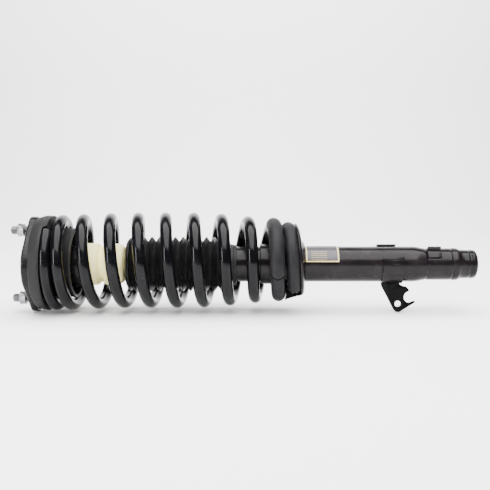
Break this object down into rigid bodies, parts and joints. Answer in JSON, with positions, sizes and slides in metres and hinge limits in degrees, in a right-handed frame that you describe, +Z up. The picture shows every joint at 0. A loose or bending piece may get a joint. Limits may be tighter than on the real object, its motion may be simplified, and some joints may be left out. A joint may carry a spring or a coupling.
{
  "type": "loaded suspension strut",
  "caption": "Loaded suspension strut with a studded top mount, coil spring, bump stop, dust boot, sliding damper and a hose bracket on its tube.",
  "frame": {"origin": "centre of the top mount plate's outer face, where the plate bears on the strut tower", "axes": "+X along the strut's axis from the top mount to the fork end, +Z up as it lies, -Y towards the viewer"},
  "size_m": [0.6658, 0.1365, 0.1424],
  "materials": {
    "black_paint": "gloss black powder coat",
    "zinc": "satin zinc plate",
    "chrome": "ground hard chrome",
    "steel": "bare machined steel",
    "rubber": "matte moulded rubber",
    "sleeve_rubber": "matte grey rubber hose",
    "boot_rubber": "satin black moulding",
    "urethane": "cream cellular urethane",
    "plastic": "filled black polymer",
    "sintered_iron": "grey sintered metal",
    "bronze": "dull bearing bronze",
    "label_paper": "printed paper with a pale border"
  },
  "bodies": {
    "top_mount": {"mount_plate": "black_paint", "mount_stud_1": "zinc", "mount_nut_1": "zinc", "mount_stud_2": "zinc", "mount_nut_2": "zinc", "mount_bush": "rubber", "upper_seat_cup": "black_paint", "upper_spring_insulator": "rubber", "bump_stop_cup": "black_paint", "bump_stop": "urethane", "dust_boot": "boot_rubber", "coil_spring": "black_paint", "coil_sleeve_upper": "sleeve_rubber"},
    "rod": {"bush_sleeve": "steel", "upper_rod_washer": "zinc", "lower_rod_washer": "zinc", "rod_nut": "zinc", "piston_rod": "chrome", "rebound_stop": "plastic", "rebound_shims": "steel", "piston": "sintered_iron", "piston_band": "plastic", "compression_shims": "steel", "piston_nut": "steel"},
    "damper": {"damper_tube": "black_paint", "tube_bottom_cap": "black_paint", "tube_top_cap": "black_paint", "rod_seal": "rubber", "rod_guide": "sintered_iron", "guide_bush": "bronze", "pressure_tube": "steel", "base_valve": "sintered_iron", "lower_spring_seat": "black_paint", "seat_hub": "black_paint", "coil_sleeve_lower": "sleeve_rubber", "hose_bracket": "black_paint", "bracket_top_tab": "black_paint", "locating_tab": "black_paint", "tube_label": "label_paper"}
  },
  "joints": [
    {"name": "damper_stroke", "type": "slide", "parent": "top_mount", "child": "damper", "axis": [-1, 0, 0], "range_m": [0, 0.121], "stiffness_N_per_m": 30000, "springref_m": -0.05, "deforming": ["coil_spring", "coil_sleeve_upper", "dust_boot"]},
    {"name": "rod_twist", "type": "hinge", "parent": "top_mount", "child": "rod", "pos_m": [0, 0, 0], "axis": [1, 0, 0], "range_deg": [-10, 10], "stiffness_Nm_per_rad": 20}
  ]
}
